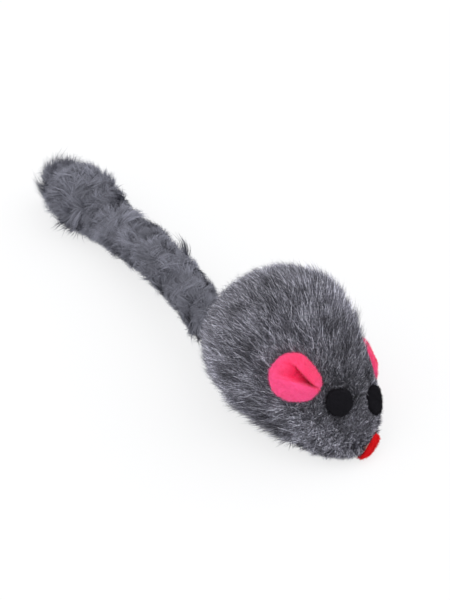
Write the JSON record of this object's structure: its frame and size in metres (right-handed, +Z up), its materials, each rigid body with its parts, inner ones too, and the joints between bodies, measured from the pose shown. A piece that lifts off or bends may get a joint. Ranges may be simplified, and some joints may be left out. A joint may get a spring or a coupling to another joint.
{
  "type": "cat toy mouse",
  "caption": "Furry toy mouse with a hollow rattle core, felt ears, eyes and nose, and a jointed tufted fur tail, lying on its flat belly.",
  "frame": {"origin": "on the floor, under the middle of the toy's outline", "axes": "+X along the toy from the tail's tuft to the nose, +Y to the mouse's left, +Z up"},
  "size_m": [0.1324, 0.0396, 0.036],
  "materials": {
    "body_fur": "short grey faux fur, mottled light and dark",
    "tail_fur": "shaggy grey faux fur",
    "fur_backing": "knitted fur backing",
    "sewing_thread": "dark grey sewing thread",
    "ear_felt": "bright pink felt",
    "eye_felt": "black felt",
    "nose_felt": "red felt",
    "core_plastic": "moulded off-white plastic",
    "steel_shot": "bright steel shot",
    "hot_glue": "cloudy hot-melt glue"
  },
  "bodies": {
    "body": {"fur_cover": "body_fur", "core_lower_shell": "core_plastic", "core_upper_shell": "core_plastic", "belly_seam_thread": "sewing_thread", "tail_tab": "fur_backing", "eye_right": "eye_felt", "eye_left": "eye_felt", "nose": "nose_felt", "ear_glue_right": "hot_glue", "ear_glue_left": "hot_glue", "eye_glue_right": "hot_glue", "eye_glue_left": "hot_glue", "nose_glue": "hot_glue"},
    "rattle_1": {"rattle_ball_1": "steel_shot"},
    "rattle_2": {"rattle_ball_2": "steel_shot"},
    "rattle_3": {"rattle_ball_3": "steel_shot"},
    "ear_right": {"ear_right": "ear_felt"},
    "ear_left": {"ear_left": "ear_felt"},
    "tail_root": {"tail_root": "tail_fur"},
    "tail_middle": {"tail_middle": "tail_fur"},
    "tail_outer": {"tail_outer": "tail_fur"},
    "tail_tuft": {"tail_tuft": "tail_fur"}
  },
  "joints": [
    {"name": "tail_swing", "type": "hinge", "parent": "body", "child": "tail_root", "pos_m": [0.01079, -0.00594, 0.011], "axis": [0, 0, 1], "range_deg": [-35, 35]},
    {"name": "tail_lift", "type": "hinge", "parent": "tail_root", "child": "tail_middle", "pos_m": [-0.01, -0.00029, 0.0107], "axis": [0, 1, 0], "range_deg": [-35, 35]},
    {"name": "tail_outer_swing", "type": "hinge", "parent": "tail_middle", "child": "tail_outer", "pos_m": [-0.02771, 0.00165, 0.00853], "axis": [0, 0, 1], "range_deg": [-35, 35]},
    {"name": "tail_tuft_lift", "type": "hinge", "parent": "tail_outer", "child": "tail_tuft", "pos_m": [-0.04542, 0.00221, 0.00758], "axis": [0, 1, 0], "range_deg": [-35, 35]},
    {"name": "ear_right_flap", "type": "hinge", "parent": "body", "child": "ear_right", "pos_m": [0.05376, -0.00621, 0.01903], "axis": [-0.1412, 0.7588, 0.6358], "range_deg": [0, 55], "stiffness_Nm_per_rad": 0.0002},
    {"name": "ear_left_flap", "type": "hinge", "parent": "body", "child": "ear_left", "pos_m": [0.05264, 0.01378, 0.01007], "axis": [-0.029, -0.1478, -0.9886], "range_deg": [0, 55], "stiffness_Nm_per_rad": 0.0002},
    {"name": "rattle_1_roll", "type": "slide", "parent": "body", "child": "rattle_1", "axis": [1, 0, 0], "range_m": [-0.004, 0.004]},
    {"name": "rattle_2_roll", "type": "slide", "parent": "body", "child": "rattle_2", "axis": [1, 0, 0], "range_m": [-0.004, 0.004]},
    {"name": "rattle_3_roll", "type": "slide", "parent": "body", "child": "rattle_3", "axis": [1, 0, 0], "range_m": [-0.004, 0.004]}
  ]
}
